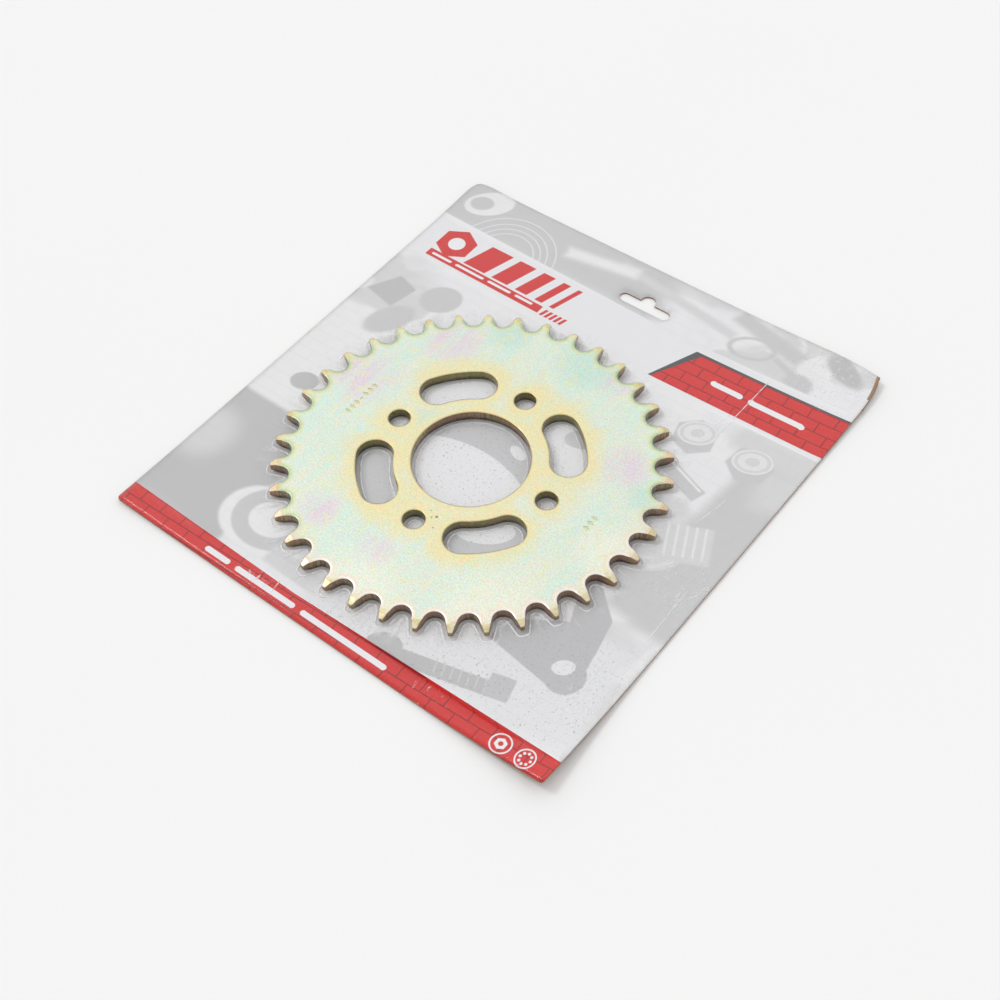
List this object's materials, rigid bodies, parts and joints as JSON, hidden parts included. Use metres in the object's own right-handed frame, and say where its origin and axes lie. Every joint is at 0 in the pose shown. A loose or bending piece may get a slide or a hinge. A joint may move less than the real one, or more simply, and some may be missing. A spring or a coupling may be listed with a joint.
{
  "type": "motorcycle rear sprocket",
  "caption": "Flat toothed chain sprocket plate with a centre bore, bolt holes and curved slots, skin-packed under clear film on a printed hang card.",
  "frame": {"origin": "centre of the plate's bore at the plate's underside, which is the card's printed face", "axes": "+Z along the bore axis, out of the card; +Y along the card's length towards the hang hole; +X along the card's width"},
  "size_m": [0.266, 0.292, 0.0071],
  "materials": {
    "plate": "yellow zinc plating, satin, slightly iridescent",
    "card": "coated board with a grey, white and red print",
    "film": "clear gloss skin film"
  },
  "bodies": {
    "card": {"backing_card": "card"},
    "sprocket": {"sprocket_plate": "plate"},
    "film": {"skin_film": "film"}
  },
  "joints": [
    {"name": "sprocket_lift", "type": "slide", "parent": "card", "child": "sprocket", "axis": [0, 0, 1], "range_m": [0, 0.08]},
    {"name": "film_peel", "type": "slide", "parent": "sprocket", "child": "film", "axis": [0, 0, 1], "range_m": [0, 0.08]}
  ]
}
